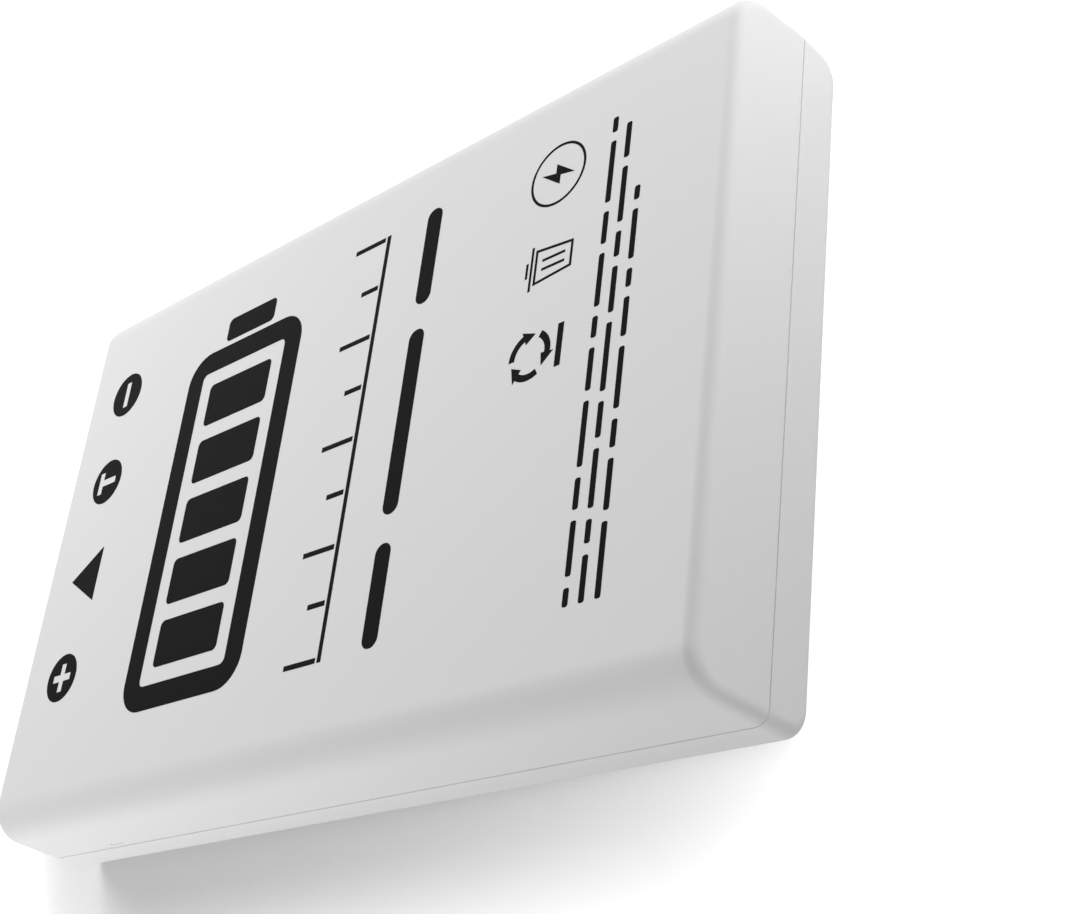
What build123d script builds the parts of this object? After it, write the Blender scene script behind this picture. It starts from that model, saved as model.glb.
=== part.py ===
from build123d import *

import os

# Slim camera battery lying on its back cover, printed face up.
# X runs along the length with the contacts at the -X end, Y across the width, Z up through the face.
# All sizes in millimetres and degrees.

# Outer form, measured at the seam where the pack is widest
length = 54.0
width = 36.0
thickness = 7.8
seam_height = 3.0  # middle of the seam above the back
seam_gap = 0.04
case_draft = 2.0
cover_draft = 1.4
face_long_radius = 2.0  # long edges of the printed face
back_long_radius = 1.5  # long edges of the back
case_end_radius = 0.72  # outline of the case's ends, with its upright corners
cover_end_radius = 0.85  # the same on the cover

# Walls and the lap joint between case and cover
side_wall = 1.0
face_wall = 0.8
back_wall = 0.8
pocket_long_radius = 0.9
pocket_end_radius = 0.4
lap_wall = 0.5  # part of the side wall that stays outside the lip
lap_clearance = 0.05
lip_height = 1.0

# Contacts and their windows in the -X end wall
plus_inset = 9.3  # middle of the positive window from the -Y side
minus_inset = 7.2  # middle of the negative window from the +Y side
sense_pitch = 6.3  # between the temperature and negative windows
window_width = 3.4
window_height = 3.0
window_radius = 0.3
contact_margin = 0.5  # contact block beyond its window, each side
contact_thickness = 0.5
contact_setback = 0.25  # behind the inner face of the end wall at the seam
contact_edge = 0.12

# Protection board, standing across the contact end
board_side_gap = 1.5
board_thickness = 0.8
board_headroom = 0.4
guide_inset = 1.5  # middle of the guide ribs from the ends of the board
guide_width = 2.0
guide_depth = 0.7
guide_height = 1.1
guide_clearance = 0.05

# Cell
cell_side_gap = 0.4
cell_corner = 2.2
cell_edge = 0.4  # rounding at the foot of the can
cap_space = 4.0  # from the back of the board to the lid plate
can_wall = 0.35
cap_thickness = 0.8
cap_fit = 0.03
foot_pad_thickness = 0.5
foot_pad_inset = 5.6  # from the sides of the cell
foot_pad_height = 3.4
foot_clearance = 0.15
plug_y = 7.0
plug_diameter = 1.6
plug_height = 0.25

# Terminal on the lid plate
gasket_width = 6.4
gasket_height = 3.6
gasket_thickness = 0.35
terminal_width = 4.8
terminal_height = 2.4
terminal_thickness = 0.6
terminal_edge = 0.15

# Card over the lid plate
card_width = 29.0
card_height = 4.6
card_thickness = 0.2
card_fit = 0.3

# Nickel tabs
tab_thickness = 0.15
tab_width = 2.6
tab_bend = 0.4
weld_inset = 8.6  # middle of the positive weld from the -Y side of the cell
foot_inset = 3.1  # outer ends of the soldered feet from the ends of the board
weld_length = 3.0
foot_length = 2.4

# Adhesive strips on both flat sides of the cell
tape_thickness = 0.2
tape_length = 34.0
tape_width = 9.0
tape_inset = 3.1  # from the sides of the cell

# Chips on the back of the board
protection_width = 2.9  # along Y
protection_height = 1.6  # along Z
protection_pitch = 0.95
protection_lead_count = 3
switch_width = 4.4
switch_height = 3.0
switch_pitch = 0.65
switch_lead_count = 4
package_depth = 1.0
lead_width = 0.3
lead_thickness = 0.15
lead_reach = 0.6
lead_bend = 0.15
body_lift = 0.1
body_edge = 0.08
chip_length = 1.6
chip_width = 0.8
resistor_height = 0.45
capacitor_height = 0.8
thermistor_height = 0.7
chip_edge = 0.06
chip_row = 1.3  # upper and lower row of chips from the middle of the board
capacitor_offset = 1.2  # middles of the chips from the positive foot
protection_offset = 3.55
resistor_offset = 5.9
thermistor_offset = 1.9  # middles of the chips from the negative foot
switch_offset = 5.6

# Levels and stations that follow from the sizes above
case_rim = seam_height + seam_gap / 2
cover_rim = seam_height - seam_gap / 2
lip_top = cover_rim + lip_height
pocket_length = length - 2 * side_wall
pocket_width = width - 2 * side_wall
ceiling = thickness - face_wall
middle = (ceiling + back_wall) / 2
plus_y = plus_inset - width / 2
minus_y = width / 2 - minus_inset
sense_y = minus_y - sense_pitch
contact_face = contact_setback - pocket_length / 2
board_front = contact_face + contact_thickness
board_back = board_front + board_thickness
board_width = pocket_width - 2 * board_side_gap
board_height = ceiling - back_wall - board_headroom
board_middle = back_wall + board_height / 2
guide_y = board_width / 2 - guide_inset
cell_width = pocket_width - 2 * cell_side_gap
cell_height = ceiling - back_wall - 2 * tape_thickness
cap_face = board_back + cap_space
cell_foot = pocket_length / 2 - foot_clearance - foot_pad_thickness
terminal_face = cap_face - gasket_thickness - terminal_thickness
window_middle = cover_rim + window_height / 2
positive_weld_y = weld_inset - cell_width / 2
positive_foot_y = foot_inset - board_width / 2
negative_foot_y = board_width / 2 - foot_inset
capacitor_y = positive_foot_y + foot_length + capacitor_offset
protection_y = positive_foot_y + foot_length + protection_offset
resistor_y = positive_foot_y + foot_length + resistor_offset
thermistor_y = negative_foot_y - foot_length - thermistor_offset
switch_y = negative_foot_y - foot_length - switch_offset
tape_y = (cell_width - tape_width) / 2 - tape_inset
foot_pad_width = cell_width - 2 * foot_pad_inset


def moulded_block(rim_z, face_z, x_size, y_size, draft, long_radius, outline_radius):
    """Drafted block from the seam to a flat face, its long edges and then its end outlines rounded."""
    away = (0, 0, face_z - rim_z)
    with BuildPart() as block:
        with BuildSketch(Plane(origin=(0, 0, rim_z), x_dir=(1, 0, 0), z_dir=away)):
            Rectangle(x_size, y_size)
        extrude(amount=abs(face_z - rim_z), taper=draft)
        from_rim = Axis((0, 0, rim_z), away)
        fillet(block.faces().sort_by(from_rim)[-1].edges().filter_by(Axis.X), radius=long_radius)
        ends = block.faces().sort_by(Axis.X)
        outline = ends[0].edges().sort_by(from_rim)[1:] + ends[-1].edges().sort_by(from_rim)[1:]
        fillet(outline, radius=outline_radius)
    return block.part


def end_plane(x, y, z, facing=-1):
    """Plane across the length at x, looking towards -X or +X, its own X along Y."""
    return Plane(origin=(x, y, z), x_dir=(0, 1, 0), z_dir=(facing, 0, 0))


def window_tool():
    """Cutter for the three contact windows, reaching from outside the end wall to the contact blocks."""
    with BuildPart() as tool:
        for y in (plus_y, sense_y, minus_y):
            with BuildSketch(end_plane(contact_face, y, window_middle)) as window:
                Rectangle(window_width, window_height)
                fillet(window.vertices().sort_by(Axis.Y)[:2], radius=window_radius)
            extrude(amount=contact_setback + side_wall + window_radius)
    return tool.part


def contact_block(y):
    """Contact block on the front of the board, its outer edges eased."""
    with BuildPart() as block:
        with BuildSketch(end_plane(board_front, y, window_middle)):
            Rectangle(window_width + 2 * contact_margin, window_height + contact_margin)
        extrude(amount=contact_thickness)
        fillet(block.faces().sort_by(Axis.X)[0].edges(), radius=contact_edge)
    return block.part


def chip(y, z, height):
    """Two-ended chip standing on the back of the board, long side along Z."""
    with BuildPart() as body:
        with BuildSketch(end_plane(board_back, y, z, 1)):
            Rectangle(chip_width, chip_length)
        extrude(amount=height)
        fillet(body.edges().filter_by(Axis.X), radius=chip_edge)
    return body.part


def leaded_chip(y, wide, tall, pitch, lead_count, rows_along_z):
    """Moulded chip on the back of the board with a row of bent leads on each of two opposite sides."""
    half = (wide if rows_along_z else tall) / 2
    start = half - lead_bend
    bend = half + lead_reach / 2
    tip = half + lead_reach
    lead_height = body_lift + package_depth / 2
    with BuildPart() as package:
        with BuildSketch(end_plane(board_back + body_lift, y, board_middle, 1)):
            Rectangle(wide, tall)
        extrude(amount=package_depth)
        chamfer(package.faces().sort_by(Axis.X)[-1].edges(), length=body_edge)
        for side in (-1, 1):
            for index in range(lead_count):
                shift = (index - (lead_count - 1) / 2) * pitch
                if rows_along_z:
                    place = (board_back, y, board_middle + shift)
                    lead_plane = Plane(origin=place, x_dir=(0, side, 0), z_dir=(0, 0, -side))
                else:
                    place = (board_back, y + shift, board_middle)
                    lead_plane = Plane(origin=place, x_dir=(0, 0, side), z_dir=(0, side, 0))
                with BuildSketch(lead_plane):
                    with BuildLine():
                        Polyline(
                            (start, lead_height),
                            (bend, lead_height),
                            (bend, lead_thickness),
                            (tip, lead_thickness),
                            (tip, 0),
                            (bend - lead_thickness, 0),
                            (bend - lead_thickness, lead_height - lead_thickness),
                            (start, lead_height - lead_thickness),
                            close=True,
                        )
                    make_face()
                extrude(amount=lead_width / 2, both=True)
    return package.part


# Case: printed face and the walls down to the seam
case_form = moulded_block(case_rim, thickness, length, width, case_draft, face_long_radius, case_end_radius)
case_pocket = moulded_block(
    case_rim, ceiling, pocket_length, pocket_width, case_draft, pocket_long_radius, pocket_end_radius
)
windows = window_tool()
with BuildPart() as front_case:
    add(case_form)
    add(case_pocket, mode=Mode.SUBTRACT)
    with BuildSketch(Plane.XY.offset(case_rim)):
        RectangleRounded(
            length - 2 * lap_wall,
            width - 2 * lap_wall,
            pocket_end_radius + side_wall - lap_wall,
        )
    extrude(amount=lip_top - case_rim, mode=Mode.SUBTRACT)
    add(windows, mode=Mode.SUBTRACT)
    with BuildSketch(Plane.XY.offset(ceiling)):
        with Locations((board_back + guide_clearance + guide_depth / 2, 0)):
            with GridLocations(0, 2 * guide_y, 1, 2):
                Rectangle(guide_depth, guide_width)
    extrude(amount=-guide_height)
front_case.part.label = "front_case"

# Cover: the back, the walls up to the seam and the lip that stands inside the case wall
cover_form = moulded_block(cover_rim, 0, length, width, cover_draft, back_long_radius, cover_end_radius)
cover_pocket = moulded_block(
    cover_rim, back_wall, pocket_length, pocket_width, cover_draft, pocket_long_radius, pocket_end_radius
)
with BuildPart() as rear_cover:
    add(cover_form)
    add(cover_pocket, mode=Mode.SUBTRACT)
    with BuildSketch(Plane.XY.offset(cover_rim)):
        RectangleRounded(
            length - 2 * (lap_wall + lap_clearance),
            width - 2 * (lap_wall + lap_clearance),
            pocket_end_radius + side_wall - lap_wall - lap_clearance,
        )
        RectangleRounded(pocket_length, pocket_width, pocket_end_radius, mode=Mode.SUBTRACT)
    extrude(amount=lip_height)
    add(windows, mode=Mode.SUBTRACT)
    with BuildSketch(Plane.XY.offset(back_wall)):
        with Locations((board_back + guide_clearance + guide_depth / 2, 0)):
            with GridLocations(0, 2 * guide_y, 1, 2):
                Rectangle(guide_depth, guide_width)
    extrude(amount=guide_height)
rear_cover.part.label = "rear_cover"

# Cell can: drawn and sealed, with a step at the mouth for the lid plate
with BuildPart() as cell_can:
    with BuildSketch(end_plane(cap_face, 0, middle, 1)):
        RectangleRounded(cell_width, cell_height, cell_corner)
    extrude(amount=cell_foot - cap_face)
    fillet(cell_can.faces().sort_by(Axis.X)[-1].edges(), radius=cell_edge)
    with BuildSketch(end_plane(cap_face, 0, middle, 1)):
        RectangleRounded(cell_width - 2 * can_wall, cell_height - 2 * can_wall, cell_corner - can_wall)
    extrude(amount=cap_thickness, mode=Mode.SUBTRACT)
cell_can.part.label = "cell_can"

# Lid plate in the mouth of the can
with BuildPart() as cell_cap:
    with BuildSketch(end_plane(cap_face, 0, middle, 1)):
        RectangleRounded(
            cell_width - 2 * (can_wall + cap_fit),
            cell_height - 2 * (can_wall + cap_fit),
            cell_corner - can_wall - cap_fit,
        )
    extrude(amount=cap_thickness)
cell_cap.part.label = "cell_cap"

# Pin that closes the filling hole
with BuildPart() as fill_plug:
    with BuildSketch(end_plane(cap_face, plug_y, middle)):
        Circle(plug_diameter / 2)
    extrude(amount=plug_height)
    chamfer(fill_plug.faces().sort_by(Axis.X)[0].edges(), length=plug_height / 2)
fill_plug.part.label = "fill_plug"

# Gasket and terminal
with BuildPart() as terminal_gasket:
    with BuildSketch(end_plane(cap_face, 0, middle)):
        RectangleRounded(gasket_width, gasket_height, gasket_height / 4)
    extrude(amount=gasket_thickness)
terminal_gasket.part.label = "terminal_gasket"

with BuildPart() as cell_terminal:
    with BuildSketch(end_plane(cap_face - gasket_thickness, 0, middle)):
        RectangleRounded(terminal_width, terminal_height, terminal_height / 4)
    extrude(amount=terminal_thickness)
    chamfer(cell_terminal.faces().sort_by(Axis.X)[0].edges(), length=terminal_edge)
cell_terminal.part.label = "cell_terminal"

# Card over the lid plate, open at the gasket, the plug and the weld
with BuildPart() as cap_insulator:
    with BuildSketch(end_plane(cap_face, 0, middle)):
        RectangleRounded(card_width, card_height, card_fit)
        RectangleRounded(
            gasket_width + 2 * card_fit, gasket_height + 2 * card_fit, card_fit, mode=Mode.SUBTRACT
        )
        with Locations((plug_y, 0)):
            Circle(plug_diameter / 2 + card_fit, mode=Mode.SUBTRACT)
        with Locations((positive_weld_y, 0)):
            Rectangle(weld_length + 4 * card_fit, tab_width + 2 * card_fit, mode=Mode.SUBTRACT)
    extrude(amount=card_thickness)
cap_insulator.part.label = "cap_insulator"

# Nickel strip from the lid plate to the board
with BuildPart() as positive_tab:
    with BuildLine(Plane.XY.offset(board_middle - tab_width / 2)) as positive_path:
        FilletPolyline(
            (cap_face - tab_thickness, positive_weld_y + weld_length / 2),
            (cap_face - tab_thickness, positive_weld_y - weld_length / 2),
            (board_back, positive_foot_y + foot_length),
            (board_back, positive_foot_y),
            radius=tab_bend,
        )
    make_brake_formed(tab_thickness, tab_width, line=positive_path.line, side=Side.LEFT)
positive_tab.part.label = "positive_tab"

# Nickel strip from the terminal to the board
with BuildPart() as negative_tab:
    with BuildLine(Plane.XY.offset(board_middle - tab_width / 2)) as negative_path:
        FilletPolyline(
            (board_back, negative_foot_y),
            (board_back, negative_foot_y - foot_length),
            (terminal_face - tab_thickness, negative_foot_y - 2 * foot_length),
            (terminal_face - tab_thickness, -terminal_width / 2),
            radius=tab_bend,
        )
    make_brake_formed(tab_thickness, tab_width, line=negative_path.line, side=Side.LEFT)
negative_tab.part.label = "negative_tab"

# Protection board
with BuildPart() as circuit_board:
    with BuildSketch(end_plane(board_front, 0, board_middle, 1)):
        Rectangle(board_width, board_height)
    extrude(amount=board_thickness)
circuit_board.part.label = "circuit_board"

protection_form = leaded_chip(
    protection_y, protection_width, protection_height, protection_pitch, protection_lead_count, False
)
with BuildPart() as protection_ic:
    add(protection_form)
protection_ic.part.label = "protection_ic"

switch_form = leaded_chip(switch_y, switch_width, switch_height, switch_pitch, switch_lead_count, True)
with BuildPart() as switch_transistor:
    add(switch_form)
switch_transistor.part.label = "switch_transistor"

thermistor_form = chip(thermistor_y, board_middle, thermistor_height)
with BuildPart() as thermistor:
    add(thermistor_form)
thermistor.part.label = "thermistor"

lower_row = board_middle - chip_row
upper_row = board_middle + chip_row
resistor_forms = [chip(resistor_y, z, resistor_height) for z in (lower_row, upper_row)]
with BuildPart() as chip_resistors:
    add(resistor_forms)
chip_resistors.part.label = "chip_resistors"

capacitor_forms = [chip(capacitor_y, z, capacitor_height) for z in (lower_row, upper_row)]
with BuildPart() as chip_capacitors:
    add(capacitor_forms)
chip_capacitors.part.label = "chip_capacitors"

# Plated contacts behind their windows
plus_block = contact_block(plus_y)
with BuildPart() as positive_contact:
    add(plus_block)
positive_contact.part.label = "positive_contact"

sense_block = contact_block(sense_y)
with BuildPart() as temperature_contact:
    add(sense_block)
temperature_contact.part.label = "temperature_contact"

minus_block = contact_block(minus_y)
with BuildPart() as negative_contact:
    add(minus_block)
negative_contact.part.label = "negative_contact"

# Adhesive strips and the foam pad
with BuildPart() as front_tape:
    with BuildSketch(Plane.XY.offset(ceiling - tape_thickness)):
        with GridLocations(0, 2 * tape_y, 1, 2):
            Rectangle(tape_length, tape_width)
    extrude(amount=tape_thickness)
front_tape.part.label = "front_tape"

with BuildPart() as rear_tape:
    with BuildSketch(Plane.XY.offset(back_wall)):
        with GridLocations(0, 2 * tape_y, 1, 2):
            Rectangle(tape_length, tape_width)
    extrude(amount=tape_thickness)
rear_tape.part.label = "rear_tape"

with BuildPart() as end_pad:
    with BuildSketch(end_plane(cell_foot, 0, middle, 1)):
        Rectangle(foot_pad_width, foot_pad_height)
    extrude(amount=foot_pad_thickness)
end_pad.part.label = "end_pad"

os.makedirs("parts", exist_ok=True)
for piece in (
    front_case,
    rear_cover,
    cell_can,
    cell_cap,
    fill_plug,
    terminal_gasket,
    cell_terminal,
    cap_insulator,
    positive_tab,
    negative_tab,
    circuit_board,
    protection_ic,
    switch_transistor,
    thermistor,
    chip_resistors,
    chip_capacitors,
    positive_contact,
    temperature_contact,
    negative_contact,
    front_tape,
    rear_tape,
    end_pad,
):
    export_step(piece.part, f"parts/{piece.part.label}.step")
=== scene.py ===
import math

import bmesh
import bpy
from bpy.props import FloatProperty, FloatVectorProperty, IntProperty, PointerProperty
from mathutils import Euler, Matrix, Vector


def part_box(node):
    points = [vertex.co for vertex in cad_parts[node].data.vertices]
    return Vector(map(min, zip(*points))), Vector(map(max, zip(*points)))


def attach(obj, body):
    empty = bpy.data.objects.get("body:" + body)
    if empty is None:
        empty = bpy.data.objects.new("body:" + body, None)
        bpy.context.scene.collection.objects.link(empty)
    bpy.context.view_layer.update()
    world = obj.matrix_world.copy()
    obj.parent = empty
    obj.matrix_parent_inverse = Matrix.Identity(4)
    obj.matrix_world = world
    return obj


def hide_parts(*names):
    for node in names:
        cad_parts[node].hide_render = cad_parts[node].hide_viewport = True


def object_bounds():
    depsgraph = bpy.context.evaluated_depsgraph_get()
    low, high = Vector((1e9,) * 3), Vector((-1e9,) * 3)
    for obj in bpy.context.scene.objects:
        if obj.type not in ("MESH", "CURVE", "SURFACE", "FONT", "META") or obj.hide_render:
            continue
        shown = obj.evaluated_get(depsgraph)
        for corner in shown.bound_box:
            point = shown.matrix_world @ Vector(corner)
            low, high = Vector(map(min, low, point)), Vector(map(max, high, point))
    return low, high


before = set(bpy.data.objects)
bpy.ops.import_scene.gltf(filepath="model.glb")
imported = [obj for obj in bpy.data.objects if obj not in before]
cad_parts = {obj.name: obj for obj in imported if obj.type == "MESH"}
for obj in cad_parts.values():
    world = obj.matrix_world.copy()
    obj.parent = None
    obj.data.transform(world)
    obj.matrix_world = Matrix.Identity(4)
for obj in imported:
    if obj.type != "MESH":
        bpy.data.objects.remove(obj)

bl_info = {
    "name": "Slim Camera Battery",
    "version": (1, 0, 0),
    "blender": (4, 5, 0),
    "location": "3D View > Sidebar > Battery",
    "description": "Mouldings, print, finishes and studio for a slim rechargeable camera battery",
    "category": "Object",
}

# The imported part: +X away from the contact end, +Y towards the negative contact, +Z out of the printed face
CAD_LOW, CAD_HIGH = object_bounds()
CAD_SIZE = CAD_HIGH - CAD_LOW
CONTACTS = ("positive_contact", "temperature_contact", "negative_contact")
MM = 0.001  # a millimetre in metres
TOUCH = 1e-6  # heights closer than this are one level
END_FACING = 0.9  # least X part of the normal of an end face
ROUND = 0.5  # profile of a round bevel
WINDOW_STEPS, GATE_STEPS, EASE_STEPS = 6, 4, 3  # facets across the small roundings
EASE_ANGLE = math.radians(40)  # least turn of an edge that is eased
FLAT_WEIGHT = 80  # pull of the large faces on the shading
GOLDEN = (math.sqrt(5) - 1) / 2  # step from one share to the next, for uneven dashes


def length_prop(name, description, millimetres):
    return FloatProperty(
        name=name, description=description, default=millimetres * MM, precision=5, unit="LENGTH"
    )


def angle_prop(name, description, degrees):
    return FloatProperty(name=name, description=description, default=math.radians(degrees), subtype="ANGLE")


def count_prop(name, description, count):
    return IntProperty(name=name, description=description, default=count, min=1)


def level_prop(name, description, level):
    return FloatProperty(name=name, description=description, default=level, min=0, precision=4)


def power_prop(name, description, watts):
    return FloatProperty(name=name, description=description, default=watts, min=0, precision=4, unit="POWER")


def vector_prop(name, description, values, subtype, **limits):
    return FloatVectorProperty(
        name=name, description=description, default=values, size=3, subtype=subtype, **limits
    )


def colour_prop(name, description, colour):
    return vector_prop(name, description, colour, "COLOR", min=0, max=1)


def place_prop(name, description, millimetres):
    return vector_prop(name, description, [value * MM for value in millimetres], "TRANSLATION")


def turn_prop(name, description, degrees):
    return vector_prop(name, description, [math.radians(value) for value in degrees], "EULER")


class MouldingSizes(bpy.types.PropertyGroup):
    """Sizes of the case and the cover"""

    length: length_prop("Length", "Along X, at the seam", CAD_SIZE.x / MM)
    width: length_prop("Width", "Along Y, at the seam", CAD_SIZE.y / MM)
    thickness: length_prop("Thickness", "From the back to the top of the print", CAD_SIZE.z / MM)
    seam_height: length_prop("Seam height", "Middle of the seam above the back", 3.0)
    seam_gap: length_prop("Seam gap", "Between the rims of case and cover", 0.08)
    case_draft: angle_prop("Case draft", "Lean of the case walls", 2.0)
    cover_draft: angle_prop("Cover draft", "Lean of the cover walls", 1.4)
    face_radius: length_prop("Face radius", "Long edges of the printed face", 2.0)
    back_radius: length_prop("Back radius", "Long edges of the back", 1.5)
    case_end_radius: length_prop("Case end radius", "Outlines of the case's ends", 0.72)
    cover_end_radius: length_prop("Cover end radius", "Outlines of the cover's ends", 0.76)
    side_wall: length_prop("Side wall", "Thickness of the upright walls", 1.0)
    flat_wall: length_prop("Flat wall", "Thickness of the face and the back", 0.8)
    pocket_radius: length_prop("Pocket radius", "Long edges inside", 0.9)
    pocket_end_radius: length_prop("Pocket end radius", "End outlines inside", 0.4)
    lap_wall: length_prop("Lap wall", "Part of the wall outside the lip", 0.5)
    lap_clearance: length_prop("Lap clearance", "Between the lip and the case", 0.05)
    lip_height: length_prop("Lip height", "Of the cover's lip above its rim", 1.0)
    rim_ease: length_prop("Rim ease", "Rounding of the rims and the windows", 0.03)
    long_steps: count_prop("Long steps", "Facets across a long edge", 20)
    end_steps: count_prop("End steps", "Facets across an end outline", 12)
    window_width: length_prop("Window width", "Of each contact window", 3.4)
    window_height: length_prop("Window height", "Of each contact window above the seam", 3.0)
    window_radius: length_prop("Window radius", "Upper corners of the windows", 0.3)
    window_reach: length_prop("Window reach", "Depth of the cut from the end", 1.2)
    guide_inset: length_prop("Guide inset", "Middle of the board guides from the ends of the board", 1.5)
    guide_width: length_prop("Guide width", "Of the board guides along Y", 2.0)
    guide_depth: length_prop("Guide depth", "Of the board guides along X", 0.7)
    guide_height: length_prop("Guide height", "Of the board guides above their wall", 1.1)
    guide_clearance: length_prop("Guide clearance", "Between the board and its guides", 0.05)
    gate_place: length_prop("Gate place", "Middle of the gate mark along X, on the near long wall", -19.4)
    gate_height: length_prop("Gate height", "Middle of the gate mark above the back", 3.42)
    gate_length: length_prop("Gate length", "Of the gate mark", 1.2)
    gate_width: length_prop("Gate width", "Of the gate mark", 0.22)
    gate_depth: length_prop("Gate depth", "Of the gate mark below the seam's outline", 0.09)
    gate_corner: length_prop("Gate corner", "Radius at the ends of the gate mark", 0.099)


class MarkSizes(bpy.types.PropertyGroup):
    """Polarity marks and the arrow, placed from the middle of the face"""

    ink_height: length_prop("Ink height", "Height of the print on the face", 0.01)
    line: length_prop("Mark line", "Middle of the discs, towards the contacts", 22.25)
    radius: length_prop("Disc radius", "Of a polarity disc", 1.53)
    sign_length: length_prop("Sign length", "Of the open sign in a disc", 1.8)
    sign_stroke: length_prop("Sign stroke", "Width of the open sign in a disc", 0.46)
    sense_width: length_prop("Sense width", "Bar of the temperature sign", 1.53)
    arrow_across: length_prop("Arrow across", "Middle of the arrow across the width", -2.13)
    arrow_width: length_prop("Arrow width", "Foot of the arrow", 3.6)
    arrow_height: length_prop("Arrow height", "From foot to tip", 2.9)


class GaugeSizes(bpy.types.PropertyGroup):
    """Battery pictogram and the scale below it, placed from the middle of the face"""

    start: length_prop("Start", "Where the lines of print begin across the width", -12.4)
    middle: length_prop("Middle", "Of the pictogram, towards the contacts", 9.5)
    length: length_prop("Length", "Of the pictogram's outline", 23.2)
    height: length_prop("Height", "Of the pictogram's outline", 10.9)
    corner: length_prop("Corner", "Radius of the outline", 1.9)
    stroke: length_prop("Stroke", "Width of the outline", 1.5)
    cap_length: length_prop("Cap length", "Of the pictogram's cap", 1.6)
    cap_height: length_prop("Cap height", "Of the pictogram's cap", 4.6)
    cap_gap: length_prop("Cap gap", "Between the outline and the cap", 0.333)
    gap: length_prop("Gap", "Between the outline and the bars", 1.0)
    bar_corner: length_prop("Bar corner", "Radius of the bars and the cap", 0.35)
    bars: count_prop("Bars", "In the pictogram", 5)
    scale_foot: length_prop("Scale foot", "Foot of the ticks, towards the contacts", -2.4)
    scale_height: length_prop("Scale height", "Of a long tick", 2.5)
    scale_short: level_prop("Short tick", "Part of a long tick", 0.55)
    scale_pitch: length_prop("Scale pitch", "From tick to tick", 3.14)
    scale_stroke: length_prop("Scale stroke", "Width of the ticks and the line", 0.3)
    ticks: count_prop("Ticks", "On the scale", 9)


class RowSizes(bpy.types.PropertyGroup):
    """Plain rows of print, placed from the middle of the face"""

    bar_place: length_prop("Bar place", "Row of bars, towards the contacts", -6.45)
    bar_height: length_prop("Bar height", "Of the bars", 1.15)
    bar_gap: length_prop("Bar gap", "Between the bars", 1.6)
    bar_corner: length_prop("Bar corner", "Radius of the bars", 0.552)
    first_row: length_prop("First row", "First small row, towards the contacts", -19.43)
    row_pitch: length_prop("Row pitch", "From row to row", 0.95)
    row_start: length_prop("Row start", "Where the small rows begin across the width", -13.0)
    row_end: length_prop("Row end", "Where the bars and the long rows end", 13.28)
    last_end: length_prop("Last end", "Where the last small row ends", 8.36)
    row_stroke: length_prop("Row stroke", "Height of the small rows", 0.34)
    row_corner: length_prop("Row corner", "Radius of the dashes", 0.113)
    row_gap: length_prop("Row gap", "Between the dashes of a row", 0.55)
    dash_short: length_prop("Short dash", "Least length of a dash", 0.9)
    dash_long: length_prop("Long dash", "Greatest length of a dash", 3.8)


class SignSizes(bpy.types.PropertyGroup):
    """Small signs, placed from the middle of the face"""

    line: length_prop("Sign line", "Middle of the signs, towards the contacts", -15.75)
    stroke: length_prop("Stroke", "Width of the fine lines", 0.15)
    loop_across: length_prop("Loop across", "Place of the loop across the width", 1.0)
    loop_rise: length_prop("Loop rise", "Middle of the loop above the sign line", 0.5)
    loop_radius: length_prop("Loop radius", "Middle of its arrows", 1.2)
    loop_stroke: length_prop("Loop stroke", "Width of its arrows and its bar", 0.38)
    loop_head_width: length_prop("Loop head width", "Across the pointed part of an arrow", 0.836)
    loop_sweep: angle_prop("Loop sweep", "Bent part of an arrow", 66)
    loop_head: angle_prop("Loop head", "Pointed part of an arrow", 37)
    bin_across: length_prop("Bin across", "Place of the bin across the width", 6.15)
    bin_width: length_prop("Bin width", "Of the lid", 2.6)
    bin_height: length_prop("Bin height", "With lid, grip and a line of room", 3.3)
    bolt_across: length_prop("Bolt across", "Place of the ring across the width", 11.47)
    bolt_height: length_prop("Bolt height", "Of the bolt in the ring", 2.3)
    ring_radius: length_prop("Ring radius", "Middle of the ring's line", 1.8)


class FinishColours(bpy.types.PropertyGroup):
    """Colours of the finishes"""

    plastic: colour_prop("Case plastic", "White moulding", (0.75, 0.75, 0.752))
    ink: colour_prop("Ink", "Black print", (0.0095, 0.0095, 0.0099))
    gold: colour_prop("Contacts", "Gold plating", (0.87, 0.62, 0.26))
    aluminium: colour_prop("Cell", "Drawn aluminium", (0.62, 0.63, 0.64))
    nickel: colour_prop("Tabs", "Nickel strip", (0.55, 0.53, 0.49))
    gasket: colour_prop("Gasket", "Black insulator", (0.02, 0.02, 0.022))
    card: colour_prop("Card", "Insulating card", (0.33, 0.24, 0.12))
    board: colour_prop("Board", "Green laminate", (0.012, 0.075, 0.03))
    package: colour_prop("Chips", "Moulded epoxy", (0.018, 0.018, 0.02))
    ceramic: colour_prop("Capacitors", "Tan ceramic", (0.42, 0.29, 0.16))
    resistor: colour_prop("Resistors", "Black glaze", (0.022, 0.022, 0.025))
    tape: colour_prop("Tape", "Adhesive tape", (0.71, 0.69, 0.62))
    foam: colour_prop("Foam", "Dark foam", (0.03, 0.03, 0.032))


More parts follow.
